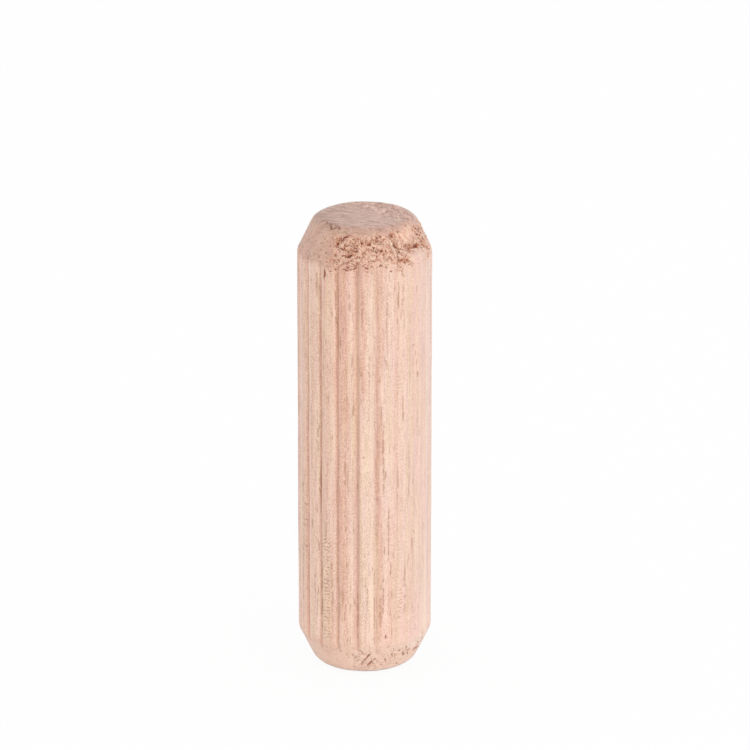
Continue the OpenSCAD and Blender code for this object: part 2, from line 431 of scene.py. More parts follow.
class Graph:
    """A node tree, geometry or shader, with short calls for the nodes that it is made of."""

    def __init__(self, tree):
        self.tree = tree

    def node(self, kind, settings=None, inputs=None):
        """Adds a node: its settings first, then the values or links of its sockets."""
        node = self.tree.nodes.new(kind)
        for name, setting in (settings or {}).items():
            if name == "index_switch_items":
                while len(node.index_switch_items) < setting:
                    node.index_switch_items.new()
            else:
                setattr(node, name, setting)
        for name, value in (inputs or {}).items():
            socket = self.socket(node, name)
            for one in value if isinstance(value, list) else [value]:
                self.feed(socket, one)
        return node

    def socket(self, node, name):
        """An input by its number, its identifier or its name."""
        if isinstance(name, int):
            return node.inputs[name]
        for socket in node.inputs:
            if socket.identifier == name:
                return socket
        return node.inputs[name]

    def feed(self, socket, value):
        if isinstance(value, Value):
            self.tree.links.new(value.socket, socket)
        else:
            socket.default_value = value

    def value(self, kind, settings=None, inputs=None, output=0):
        """One output of a new node."""
        return Value(self, self.node(kind, settings, inputs).outputs[output])

    def math(self, operation, *terms):
        return self.value("ShaderNodeMath", {"operation": operation}, dict(enumerate(terms)))

    def clamp(self, value, low, high):
        return self.math("MINIMUM", self.math("MAXIMUM", value, low), high)

    def ramp(self, value, low, high, start=0.0, stop=1.0):
        """A smooth step from start to stop while value goes from low to high."""
        return self.value(
            "ShaderNodeMapRange",
            {"interpolation_type": "SMOOTHSTEP"},
            {"Value": value, "From Min": low, "From Max": high, "To Min": start, "To Max": stop},
        )

    def window(self, value, low, high, soft):
        """1 between low and high, with soft borders of this width, and 0 elsewhere."""
        rise = self.ramp(value, low - soft / 2, low + soft / 2)
        fall = self.ramp(value, high - soft / 2, high + soft / 2)
        return rise - fall

    def mix(self, share, first, second):
        """A number between two numbers."""
        return self.value(
            "ShaderNodeMix",
            {"data_type": "FLOAT", "clamp_factor": True},
            {"Factor_Float": share, "A_Float": first, "B_Float": second},
        )

    def blend(self, share, first, second, how="MIX"):
        """A colour between two colours."""
        return self.value(
            "ShaderNodeMix",
            {"data_type": "RGBA", "blend_type": how, "clamp_factor": True},
            {"Factor_Float": share, "A_Color": opaque(first), "B_Color": opaque(second)},
            output=2,
        )

    def vector(self, x, y, z):
        return self.value("ShaderNodeCombineXYZ", None, {0: x, 1: y, 2: z})

    def parts(self, vector):
        """The three numbers of a vector."""
        node = self.node("ShaderNodeSeparateXYZ", None, {0: vector})
        return [Value(self, output) for output in node.outputs]

    def times(self, vector, factors):
        """A vector multiplied by one number, or each of its numbers by its own factor."""
        if isinstance(factors, float):
            factors = (factors,) * 3
        return self.value(
            "ShaderNodeVectorMath", {"operation": "MULTIPLY"}, {0: vector, 1: factors}
        )

    def plus(self, first, second):
        return self.value("ShaderNodeVectorMath", {"operation": "ADD"}, {0: first, 1: second})

    def noise(self, vector, scale, detail=2.0, roughness=0.5, distortion=0.0, output=0):
        return self.value(
            "ShaderNodeTexNoise",
            {"noise_dimensions": "3D"},
            {
                "Vector": vector,
                "Scale": scale,
                "Detail": detail,
                "Roughness": roughness,
                "Distortion": distortion,
            },
            output,
        )

    def sway(self, vector, scale, *settings):
        """Noise about 0, from -0.5 to 0.5."""
        return self.noise(vector, scale, *settings) - 0.5

    def tinted(self, colour, tint, share=1.0):
        """A colour multiplied by a tint, in this share."""
        return self.blend(share, colour, tint, "MULTIPLY")

    def change(self, kind, mesh, **inputs):
        """The mesh after this kind of geometry node, with these inputs."""
        return self.value("GeometryNode" + kind, None, {"Geometry": mesh, **inputs})

    def attribute(self, name):
        """A number that the mesh keeps at its points."""
        return self.value("GeometryNodeInputNamedAttribute", {"data_type": "FLOAT"}, {"Name": name})

    def pick(self, number, values):
        """The value that stands at this place in a list."""
        settings = {"data_type": "FLOAT", "index_switch_items": len(values)}
        inputs = dict(enumerate((number, *values)))
        return self.value("GeometryNodeIndexSwitch", settings, inputs)

    def stretched(self, place, along):
        """A place squeezed along the pin, so that a pattern read there is drawn out."""
        return self.times(place, (1.0, 1.0, along))

    def random(self, low, high, seed):
        """A fixed random number for each point or instance."""
        return self.value(
            "FunctionNodeRandomValue",
            {"data_type": "FLOAT"},
            {"Min_001": low, "Max_001": high, "Seed": seed},
            1,
        )


def new_tree(name, values):
    """A geometry node tree that takes these named values, and its inputs under their names."""
    tree = bpy.data.node_groups.new(name, "GeometryNodeTree")
    tree.interface.new_socket("Geometry", in_out="OUTPUT", socket_type="NodeSocketGeometry")
    kinds = {int: "NodeSocketInt", float: "NodeSocketFloat", bpy.types.Object: "NodeSocketObject"}
    for label, value in values.items():
        socket = tree.interface.new_socket(label, in_out="INPUT", socket_type=kinds[type(value)])
        socket.default_value = value
    g = Graph(tree)
    group = g.node("NodeGroupInput")
    return g, {label: Value(g, group.outputs[label]) for label in values}


def closed_tree(g, mesh, material):
    """The tree, ended with real geometry that has its material."""
    mesh = g.change("RealizeInstances", mesh)
    g.node("NodeGroupOutput", None, {"Geometry": g.change("SetMaterial", mesh, Material=material)})
    return g.tree


def emptied(data):
    """The node tree of a material or the world, with nothing in it."""
    data.use_nodes = True
    data.node_tree.nodes.clear()
    return Graph(data.node_tree)


# Patterns that the mesh and the material share, so that a pit is dark where it is deep


class Spot:
    """Where a point of the surface lies on the pin, in millimetres, as node expressions."""

    def __init__(self, g, place):
        self.place = place
        self.x, self.y, self.z = g.parts(place)
        self.azimuth = g.math("ARCTAN2", self.x, self.y * -1.0) * math.degrees(1.0)
        self.from_end = g.math("MINIMUM", self.z, LENGTH_MM - self.z)
        self.at_top = g.ramp(self.z, LENGTH_MM / 2 - 1.0, LENGTH_MM / 2 + 1.0)
        self.right = g.ramp(self.x / RADIUS_MM, 0.0, 1.0)


def torn_zone(g, spot):
    """How torn the wood is, from 0 to 1: most over the front of the upper chamfer."""
    wobble = g.sway(spot.place, 0.9, 3.0) * 2.0
    reach = spot.from_end + wobble * 0.9
    on_chamfer = g.ramp(reach, 0.2, 0.6) * g.ramp(reach, 3.2, 2.3)
    turned = spot.azimuth + wobble * 26.0 + g.sway(spot.place, 3.2, 1.0) * 26.0
    front = g.window(turned, *TORN_FRONT)
    elsewhere = g.ramp(g.noise(spot.place, 0.33, 1.0), 0.46, 0.62)
    behind = g.ramp(spot.y, -1.0, 1.5)
    upper = g.mix(front, elsewhere * g.mix(behind, 0.15, 0.7) + 0.10, 1.0)
    frayed = g.window(turned, *FRAYED_MIDDLE) + g.window(turned, *FRAYED_RIGHT) * 0.8
    lower = g.math("MAXIMUM", elsewhere * 0.35 + 0.08, frayed * 0.48)
    return on_chamfer * g.mix(spot.at_top, lower, upper)


def flakes(g, spot):
    """The upper and the lower flake on the right of the torn zone, each from 0 to 1."""
    wobble = g.sway(spot.place, 1.1, 2.0) * 0.8
    return [
        g.window(spot.azimuth, *around) * g.window(spot.from_end + wobble, *along)
        for around, along in (HIGH_FLAKE, LOW_FLAKE)
    ]


def hollows(g, spot):
    """The hollows under the lifted flakes, from 0 to 1."""
    rag = g.parts(g.noise(spot.place, 3.0, 2.0, 0.7, output=1))
    azimuth = spot.azimuth + (rag[0] - 0.5) * 14.0
    from_end = spot.from_end + (rag[1] - 0.5) * 0.5
    deepest = 0.0
    for middle, height, wide, tall, depth in HOLLOWS:
        across = (azimuth - middle) * (1.0 / wide)
        up = (from_end - height) * (1.0 / tall)
        hollow = g.ramp(across * across + up * up, 1.3, 0.2) * depth
        deepest = g.math("MAXIMUM", hollow, deepest)
    return deepest * spot.at_top


def bands(g, spot, name):
    """How much the wood takes this colour, from 0 to 1, in the bands that are of it."""
    wander = g.sway(g.stretched(spot.place, 0.3), 0.9, 2.0)
    azimuth = spot.azimuth + wander * 9.0
    strongest = 0.0
    for middle, wide, low, high, colour_name, strength in BANDS:
        if colour_name != name:
            continue
        across = g.ramp(g.math("ABSOLUTE", azimuth - middle), wide * 1.4, wide * 0.6)
        share = across * g.window(spot.z, low, high, 2.4) * strength
        strongest = g.math("MAXIMUM", share, strongest)
    return strongest


def crumbs(g, place):
    """Small torn-out crumbs of grain, from 0 to 1."""
    push = g.sway(place, 1.7, 1.0) * 0.9
    blobs = g.noise(g.plus(place, g.vector(push, push * 0.6, push * -0.8)), 3.4, 2.0, 0.6, 0.4)
    return g.ramp(blobs, 0.56, 0.66)


# The pin's shape


class Outline:
    """The pin's outline as node expressions, from the middle of an end face out to the shaft."""

    def __init__(self, g, inputs):
        radius, inset = inputs["Radius"], inputs["Chamfer inset"]
        chamfer = inputs["Chamfer length"]
        self.g = g
        self.edge_r = inputs["Edge radius"]
        self.shoulder_r = inputs["Shoulder radius"]
        self.slope = g.math("ARCTAN2", chamfer, inset)
        edge_reach = self.edge_r * g.math("TANGENT", self.slope / 2.0)
        turn_left = math.pi / 2 - self.slope
        shoulder_reach = self.shoulder_r * g.math("TANGENT", turn_left / 2.0)
        side = g.math("SQRT", chamfer * chamfer + inset * inset)
        self.face = radius - inset - edge_reach
        self.edge = self.edge_r * self.slope
        self.flat = side - edge_reach - shoulder_reach
        self.shoulder = self.shoulder_r * turn_left
        self.cap = self.face + self.edge + self.flat + self.shoulder
        self.length = inputs["Length"]
        self.cap_height = chamfer + shoulder_reach
        self.whole = 2.0 * (self.cap - self.cap_height) + self.length

    def trig(self, angle):
        return self.g.math("SINE", angle), self.g.math("COSINE", angle)

    def end(self, s):
        """Radius, height above the end and lean of the surface, s along from the axis."""
        g = self.g
        sine, cosine = self.trig(self.slope)
        on_face = g.clamp(s, 0.0, self.face)
        s = s - self.face
        edge_turn = g.clamp(s, 0.0, self.edge) / self.edge_r
        s = s - self.edge
        on_flat = g.clamp(s, 0.0, self.flat)
        s = s - self.flat
        shoulder_turn = g.clamp(s, 0.0, self.shoulder) / self.shoulder_r
        on_shaft = g.math("MAXIMUM", s - self.shoulder, 0.0)
        edge_sine, edge_cosine = self.trig(edge_turn)
        full_sine, full_cosine = self.trig(self.slope + shoulder_turn)
        radius = on_face + self.edge_r * edge_sine + on_flat * cosine
        radius = radius + self.shoulder_r * (full_sine - sine)
        height = self.edge_r * (1.0 - edge_cosine) + on_flat * sine
        height = height + self.shoulder_r * (cosine - full_cosine) + on_shaft
        return radius, height, edge_turn + shoulder_turn

    def at(self, s):
        """Radius, height, lean and side (-1 lower, 1 upper), s along from the lower end's axis."""
        upper = self.g.math("GREATER_THAN", s, self.whole / 2.0)
        radius, height, lean = self.end(self.g.mix(upper, s, self.whole - s))
        z = self.g.mix(upper, height, self.length - height)
        return radius, z, lean, self.g.mix(upper, -1.0, 1.0)


ROW_COUNTS = (
    "Rows on the lower face",
    "Rows on the lower chamfer",
    "Rows on the shaft",
    "Rows on the upper chamfer",
    "Rows on the upper face",
)


def stored(g, mesh, name, kind, value, domain="POINT"):
    """The mesh with a named value kept at each of its points or instances."""
    return g.value(
        "GeometryNodeStoreNamedAttribute",
        {"data_type": kind, "domain": domain},
        {"Geometry": mesh, "Name": name, "Value": value},
    )


def flute(g, inputs, turn, z):
    """How deep the wood is cut here, and how deep in a flute this is, below 0 on a burr. The material
    paints shade into the flute from the second value, and a highlight on the burr.
    """
    nearest = g.math("ROUND", turn)
    number = g.math("MODULO", nearest, inputs["Flutes"])
    share, breadth, side, burr = [g.pick(number, column) for column in zip(*FLUTES)]
    pitch = math.tau / inputs["Flutes"] * inputs["Radius"]
    along = z * (1.0 / MM)
    wander = g.sway(g.vector(number * 7.0, 0.0, along * 0.12), 1.0, 1.0)
    offset = (turn - nearest) * pitch + wander * FLUTE_WANDER
    distance = g.math("ABSOLUTE", offset)
    strength = g.noise(g.vector(number * 5.0, 3.0, along * 0.35), 1.0, 2.0)
    half = inputs["Flute width"] * 0.42 * breadth
    from_line = g.math("ABSOLUTE", offset - side * half * 0.5)
    full = share
    share = share * g.ramp(inputs["Length"] - z, *FLUTE_FADE)
    depth = inputs["Flute depth"] * share * g.ramp(strength, 0.25, 0.6, 0.65, 1.1)
    line = g.ramp(from_line, g.math("MINIMUM", half * 0.9, LINE_REACH), LINE_CORE)
    band = g.ramp(distance, half * 1.15, half * 0.55)
    bottom = line * 0.7 + band * 0.4
    lip = g.ramp(distance, half * 3.0, half * 0.5)
    crown = distance / pitch * 2.0
    cut = depth * bottom + inputs["Lip drop"] * share * lip
    cut = cut + inputs["Crown drop"] * (1.0 - crown) * (1.0 - crown) * share
    beside = g.math("MINIMUM", half, WIDEST_FOR_BURR) * 1.3 + BURR_GAP
    from_burr = g.math("ABSOLUTE", offset * g.math("SIGN", burr) - beside)
    burr = g.math("ABSOLUTE", burr) * g.ramp(strength, 0.35, 0.5, 0.4, 1.0)
    burr = burr * g.ramp(from_burr, BURR_REACH, BURR_CREST)
    return cut - burr * BURR_HEIGHT, bottom * full - burr


def strokes(g, outline, lines, origin="lower end"):
    """Curves for a list of strokes, as points on the pin that know their stroke's width."""
    bends = []
    for start, bend, stop, width in lines:
        settings = {
            "Start": (*start, width * STROKE_TIP),
            "Middle": (*bend, width * STROKE_BELLY),
            "End": (*stop, width * STROKE_TIP),
            "Resolution": POINTS_ON_CRACK if origin == "height" else POINTS_ON_TEAR,
        }
        bends.append(g.value("GeometryNodeCurveQuadraticBezier", None, settings))
    curves = g.value("GeometryNodeJoinGeometry", None, {0: bends})
    points = g.value("GeometryNodeCurveToPoints", {"mode": "EVALUATED"}, {0: curves})
    azimuth, along, width = g.parts(g.value("GeometryNodeInputPosition"))
    along = along * MM
    if origin == "upper end":
        along = outline.whole - along
    if origin == "height":
        along = along + outline.cap - outline.cap_height
    radius, z, _, _ = outline.at(along)
    sine, cosine = outline.trig(azimuth * math.radians(1.0))
    points = stored(g, points, "width", "FLOAT", width)
    spot = g.vector(radius * sine, radius * cosine * -1.0, z)
    return g.change("SetPosition", points, Position=spot)


def stroke_depth(g, points, place):
    """From 0 beside the strokes to 1 in the middle of them, and the nearest stroke's width."""
    nearest = g.value("GeometryNodeSampleNearest", {"domain": "POINT"}, {0: points, 1: place})
    kept_there = {"FLOAT_VECTOR": g.value("GeometryNodeInputPosition"), "FLOAT": g.attribute("width")}
    spot, width = [
        g.value(
            "GeometryNodeSampleIndex",
            {"data_type": kind, "domain": "POINT"},
            {"Geometry": points, "Value": value, "Index": nearest},
        )
        for kind, value in kept_there.items()
    ]
    distance = g.value("ShaderNodeVectorMath", {"operation": "DISTANCE"}, {0: place, 1: spot}, 1)
    return g.ramp(distance / (width * MM), 1.15, 0.15), width


def travelled(g, inputs, outline, row):
    """How far along the surface a row lies, with the rows closest on the chamfers."""
    near_cap = outline.cap - outline.face + inputs["Torn reach"]
    shaft = inputs["Length"] - 2.0 * (outline.cap_height + inputs["Torn reach"])
    whole = 0.0
    for name, distance in zip(ROW_COUNTS, (outline.face, near_cap, shaft, near_cap, outline.face)):
        whole = whole + g.clamp(row, 0.0, inputs[name]) / inputs[name] * distance
        row = row - inputs[name]
    return whole


def pin_tree(values, material):
    """Geometry nodes that bend a grid into the fluted pin and tear its ends."""
    g, inputs = new_tree("Fluted pin", values)
    outline = Outline(g, inputs)

    columns = inputs["Flutes"] * inputs["Columns per flute"]
    rows = sum_of(inputs[name] for name in ROW_COUNTS)
    grid = g.node(
        "GeometryNodeMeshGrid",
        None,
        {"Size X": 1.0, "Size Y": 1.0, "Vertices X": columns + 1.0, "Vertices Y": rows + 1.0},
    )
    across, row, _ = g.parts(g.value("GeometryNodeInputPosition"))

    radius, z, lean, side = outline.at(travelled(g, inputs, outline, (row + 0.5) * rows))

    turn = (across + 0.5) * inputs["Flutes"]
    turn = turn - g.math("SINE", turn * math.tau) * (inputs["Column crowding"] / math.tau)
    angle = inputs["First flute"] + turn * (math.tau / inputs["Flutes"])
    cut, in_flute = flute(g, inputs, turn, z)
    fluted = inputs["Radius"] - cut
    worked = g.value(
        "ShaderNodeMath", {"operation": "SMOOTH_MIN"}, {0: radius, 1: fluted, 2: RIM_BLEND}
    )
    in_flute = in_flute * g.ramp(radius - fluted, -FLUTE_EDGE, 0.0)
    sine, cosine = outline.trig(angle)
    place = g.vector(worked * cosine, worked * sine, z)
    place_mm = g.times(place, 1 / MM)
    normal_in, normal_up = outline.trig(lean)
    normal = g.vector(normal_in * cosine, normal_in * sine, normal_up * side)

    upper = strokes(g, outline, UPPER_TEARS, "upper end")
    lower = strokes(g, outline, LOWER_TEARS)
    tears = g.value("GeometryNodeJoinGeometry", None, {0: [upper, lower]})
    blank = g.vector(radius * cosine, radius * sine, z)
    ragged = g.noise(place_mm, 4.0, 2.0, 0.6, output=1)
    ragged = g.times(g.plus(ragged, (-0.5, -0.5, -0.5)), STROKE_RAGGEDNESS * MM)
    blank = g.plus(blank, ragged)
    tear, width = stroke_depth(g, tears, blank)
    lifts = strokes(g, outline, UPPER_LIFTS, "upper end")
    lift, _ = stroke_depth(g, lifts, blank)
    on_cylinder = g.vector(inputs["Radius"] * cosine, inputs["Radius"] * sine, z)
    seam, _ = stroke_depth(g, strokes(g, outline, SEAMS, "height"), on_cylinder)

    spot = Spot(g, place_mm)
    torn = torn_zone(g, spot)
    threaded, plain = flakes(g, spot)
    rough = torn * (1.0 - g.math("MAXIMUM", threaded, plain) * 0.8)
    lumps = g.noise(place_mm, 1.6, 3.0, 0.6)
    hollow = hollows(g, spot)
    depth = crumbs(g, place_mm) * CRUMB_DEPTH + g.ramp(lumps, 0.35, 0.7) * LUMP_DEPTH
    depth = rough * depth + tear * g.math("MINIMUM", width * 1.3, TEAR_DEPTH)
    depth = depth + hollow * HOLLOW_DEPTH - lift * torn * LIFT_HEIGHT
    swell = (g.noise(g.stretched(place_mm, 0.3), 0.7, 1.0) - 0.7) * SWELL_HEIGHT
    shift = (swell - depth) * MM
    moved = g.value("ShaderNodeVectorMath", {"operation": "SCALE"}, {0: normal, "Scale": shift})

    mesh = Value(g, grid.outputs["Mesh"])
    mesh = stored(g, mesh, PLACE, "FLOAT_VECTOR", place)
    numbers = {FLUTE: in_flute, TEAR: tear, LIFT: lift, HOLLOW: hollow, SEAM: seam}
    numbers[TORN] = rough * (1.0 - lift * 0.9)
    for name in BAND_COLOURS:
        numbers[name] = bands(g, spot, name)
    for name, value in numbers.items():
        mesh = stored(g, mesh, name, "FLOAT", value)
    mesh = g.change("SetPosition", mesh, Position=g.plus(place, moved))
    mesh = g.change("MergeByDistance", mesh, Distance=MERGE_DISTANCE)
    return closed_tree(g, g.change("SetShadeSmooth", mesh), material)


# Slivers: bend to one side, height of the arch and height of the far end, as shares of length
SLIVERS = ((-0.30, 0.42, -0.10), (0.25, 0.60, 0.03), (0.10, 0.30, 0.03))
SLIVER_STEPS = 9
SLIVER_SIDES = 5
SLIVER_SCALES = (0.45, 1.25)
SLIVER_SPIN = 1.5
THINNEST_SQUARED = 0.02
SCATTER_SEED, SPIN_SEED, SCALE_SEED, TONE_SEED = 4, 7, 11, 13
UP = (0.0, 0.0, 1.0)


def sliver(g, inputs, side, arch, far_end):
    """A curled sliver of wood that is thin towards both of its ends, ready to be strewn."""
    length = inputs["Length"]
    bow = {
        "Start": g.vector(length * -0.5, 0.0, length * -0.12),
        "Middle": g.vector(0.0, length * side, length * inputs["Curl"] * arch),
        "End": g.vector(length * 0.5, 0.0, length * far_end),
        "Resolution": SLIVER_STEPS,
    }
    line = g.value("GeometryNodeCurveQuadraticBezier", None, bow)
    share = g.value("GeometryNodeSplineParameter")
    belly = 1.0 - g.math("POWER", share * 2.0 - 1.0, 2.0)
    taper = g.math("SQRT", g.math("MAXIMUM", belly, THINNEST_SQUARED))
    circle = {"Resolution": SLIVER_SIDES, "Radius": inputs["Thickness"]}
    section = g.value("GeometryNodeCurvePrimitiveCircle", None, circle)
    tube = {"Curve": line, "Profile Curve": section, "Scale": taper, "Fill Caps": True}
    mesh = g.change("SetShadeSmooth", g.value("GeometryNodeCurveToMesh", None, tube))
    return g.value("GeometryNodeGeometryToInstance", None, {0: mesh})


def fibre_tree(values, material):
    """Geometry nodes that strew curled slivers of torn wood over the torn zone of the pin."""
    g, inputs = new_tree("Torn fibres", values)
    surface = g.value("GeometryNodeObjectInfo", None, {"Object": inputs["Pin"]}, 4)
    density = inputs["Density"] * g.ramp(g.attribute(TORN), 0.35, 0.9)
    spread = g.node(
        "GeometryNodeDistributePointsOnFaces",
        None,
        {"Mesh": surface, "Density": density, "Seed": SCATTER_SEED},
    )
    points, normal = [Value(g, output) for output in spread.outputs[:2]]
    turn_to = "FunctionNodeAlignRotationToVector"
    upright = g.value(turn_to, {"axis": "Z"}, {"Vector": normal})
    along = g.value(turn_to, {"axis": "X", "pivot_axis": "Z"}, {"Rotation": upright, "Vector": UP})
    angle = g.random(-SLIVER_SPIN, SLIVER_SPIN, SPIN_SEED)
    spin = g.value("FunctionNodeAxisAngleToRotation", None, {"Axis": UP, "Angle": angle})
    lie = g.value("FunctionNodeRotateRotation", {"rotation_space": "LOCAL"}, {0: along, 1: spin})
    slivers = [sliver(g, inputs, *shape) for shape in SLIVERS]
    scale = g.random(*SLIVER_SCALES, SCALE_SEED)
    strewn = g.value(
        "GeometryNodeInstanceOnPoints",
        None,
        {
            "Points": points,
            "Instance": g.value("GeometryNodeJoinGeometry", None, {0: slivers}),
            "Pick Instance": True,
            "Rotation": lie,
            "Scale": g.vector(scale, scale, scale),
        },
    )
    tone = g.random(0.0, 1.0, TONE_SEED)
    return closed_tree(g, stored(g, strewn, TONE, "FLOAT", tone, "INSTANCE"), material)


# The wood


def kept(g, name, output=2):
    """A value that the mesh keeps at its points: output 1 for a vector, 2 for a number."""
    return g.value("ShaderNodeAttribute", {"attribute_name": name}, None, output)


def ripples(g, spot, patch):
    """Short slanting nicks, one above another up a strip of the shaft: 1 in them, -1 beside. The
    material paints shade where it is above 0 and a highlight where it is below.
    """
    left, right, low, high, pitch, slant, strength = patch
    uneven = g.noise(g.times(spot.place, (1.6, 1.6, 1.0)), 1.3, 3.0, 0.6)
    azimuth = spot.azimuth + uneven * 6.0 - 3.0
    strip = g.window(azimuth, left, right, 2.0) * g.window(spot.z, low, high, 1.0)
    wave = g.math("SINE", spot.z * (math.tau / pitch) - spot.azimuth * slant + uneven * 13.0)
    gate = g.ramp(g.noise(g.times(spot.place, (1.0, 1.0, 0.6)), 2.6, 2.0), 0.42, 0.54)
    return strip * (g.ramp(wave, 0.25, 0.9) - g.ramp(wave, -0.2, -0.9) * 0.5) * gate * strength


def long_grain(g, spot, in_flute, colours):
    """Colour and relief of the shaft: bands, fibres, speckles, open pores and ripples, with painted
    shade in the flutes and nicks, painted highlights on the burrs and beside the nicks, a painted
    sheen on the right and painted light towards the lower end.
    """
    wave = g.sway(g.stretched(spot.place, 0.4), 1.1, 2.0) * 0.28
    place = g.vector(spot.x + wave, spot.y + wave, spot.z)
    band = g.noise(g.stretched(place, 0.05), 0.8, 2.0)
    fibre = g.sway(g.stretched(place, 0.025), 4.0, 3.0, 0.75)
    short_fibre = g.sway(g.stretched(place, 0.07), 8.0, 2.0, 0.6)
    speckle = g.sway(g.stretched(place, 0.55), 16.0, 1.0, 0.6)
    calm = 1.15 - spot.right * 0.45
    grain = fibre * 2.4 + (short_fibre * 1.8 + speckle * 4.4) * calm
    colour = g.blend(g.ramp(band, 0.35, 0.65), colours.pink, colours.cream)
    # Painted sheen: the wood turns paler and less saturated towards the right, where light grazes it
    colour = g.blend(spot.right * 0.5, colour, colours.pale)
    for name in BAND_COLOURS:
        colour = g.blend(kept(g, name), colour, getattr(colours, name))
    hue = g.ramp(g.noise(g.stretched(place, 0.05), 2.6, 2.0), 0.38, 0.62)
    hue = g.blend(hue, (1.0, 1.0, 0.945), (1.0, 0.965, 1.0))
    colour = g.tinted(colour, hue)
    # Painted light from the floor below: the wood is made brighter towards the lower end
    colour = g.tinted(colour, (1.05, 1.045, 1.06), g.ramp(spot.z, 9.0, 3.0))
    colour = g.blend(grain * 0.52 + 0.20, colour, g.tinted(colour, colours.grain))
    colour = g.blend(grain * -0.40 - 0.04, colour, colours.bright)
    dash = g.ramp(g.noise(g.stretched(place, 0.10), 7.0, 1.0), 0.68, 0.76) * calm
    colour = g.blend(dash * 0.5, colour, colours.pore)
    seam = kept(g, SEAM) * g.ramp(g.noise(g.stretched(place, 0.6), 3.6, 1.0), 0.38, 0.52)
    colour = g.blend(seam * 0.68, colour, colours.pore)
    # Painted shade down each flute in the flute colour, and a painted highlight on each burr in
    # bright wood
    colour = g.blend(in_flute * 0.30, colour, colours.groove)
    colour = g.blend(in_flute * -0.9, colour, colours.bright)
    for azimuth, height, wide, tall, strength in SPECKS:
        across = (spot.azimuth - azimuth) * (1.0 / wide) + speckle * 3.0
        up = (spot.z - height) * (1.0 / tall) + short_fibre * 3.0
        speck = g.ramp(across * across + up * up, 1.0, 0.1) * strength
        colour = g.blend(speck, colour, colours.pore)
    ladder = sum_of(ripples(g, spot, patch) for patch in NICKS)
    # Painted shade in the nicks, in the hollow colour, and a painted highlight beside them, in bright
    # wood
    colour = g.blend(ladder * 0.70, colour, colours.hollow)
    colour = g.blend(ladder * -0.9, colour, colours.bright)
    height = fibre * 0.9 + short_fibre * 0.7 + speckle * 1.0 - (dash + seam) * 0.5 - ladder * 0.5
    return colour, height


def end_grain(g, spot, colours):
    """Colour of an end face: dull wood with darker streaks across it."""
    place = spot.place
    patch = g.noise(place, 0.7, 1.0)
    along = spot.x * 0.96 - spot.y * 0.28
    over = spot.x * 0.28 + spot.y * 0.96
    streaks = g.sway(g.vector(along * 0.30, over, 0.0), 3.0, 3.0, 0.75, 0.5)
    fine = g.sway(g.times(place, (0.6, 1.0, 1.0)), 9.0, 1.0)
    dark = streaks * g.ramp(patch, 0.38, 0.60, 1.8, 6.5) + fine * 1.6
    dark = dark + g.ramp(spot.x, 0.0, -2.5) * 0.30 + 0.40
    colour = g.blend(dark, colours.end_light, colours.end_dark)
    knots = g.noise(g.times(place, (1.0, 0.5, 1.0)), 2.6, 3.0, 0.8, 0.6)
    behind = g.ramp(spot.x + spot.y * 0.8, 0.4, 2.0)
    colour = g.blend(g.ramp(knots, 0.46, 0.38) * behind * 0.6, colour, colours.fresh)
    return g.blend(g.ramp(knots, 0.51, 0.58) * behind * 0.65, colour, colours.gash)


def cut_wood(g, spot, colour, colours):
    """The chamfers: the upper one darker and dragged sideways by the cutter, the lower one pale, and
    made paler still as painted light from the floor below.
    """
    wander = g.sway(spot.place, 1.1, 2.0)
    reach = spot.from_end + wander * 0.8 + g.ramp(spot.azimuth, -24.0, 16.0) * 0.7
    on_chamfer = g.ramp(reach, 3.1, 2.4)
    dull = g.tinted(colour, colours.chamfer)
    colour = g.blend(on_chamfer * spot.at_top, colour, dull)
    drag = g.noise(g.times(spot.place, (1.0, 1.0, 3.2)), 2.4, 3.0, 0.7, 0.6)
    mark = g.ramp(drag, 0.51, 0.65) * on_chamfer * spot.at_top
    mark = mark * g.ramp(spot.azimuth, -62.0, -44.0, 0.75, 1.00)
    colour = g.blend(mark, colour, colours.drag)
    # Painted light from below: the lower chamfer's pale cut wood is made paler still where the floor
    # lights it
    below = g.ramp(spot.from_end + wander * 0.8, 3.4, 1.6) * (1.0 - spot.at_top)
    mottle = g.noise(g.times(spot.place, (1.0, 1.0, 0.8)), 4.2, 3.0, 0.8)
    mottle = g.ramp(mottle, 0.53, 0.64) * g.ramp(spot.azimuth, -25.0, 8.0, 0.34, 0.72)
    pale = g.blend(g.ramp(spot.azimuth, -8.0, -20.0), colours.cut_pale, colours.cut_warm)
    colour = g.blend(below * 0.95, colour, g.blend(mottle, pale, colours.streak))
    rim = g.ramp(spot.from_end, 0.65, 0.25) * spot.at_top
    return g.blend(rim * g.ramp(spot.azimuth, -42.0, -26.0, 0.42, 0.12), colour, colours.drag)


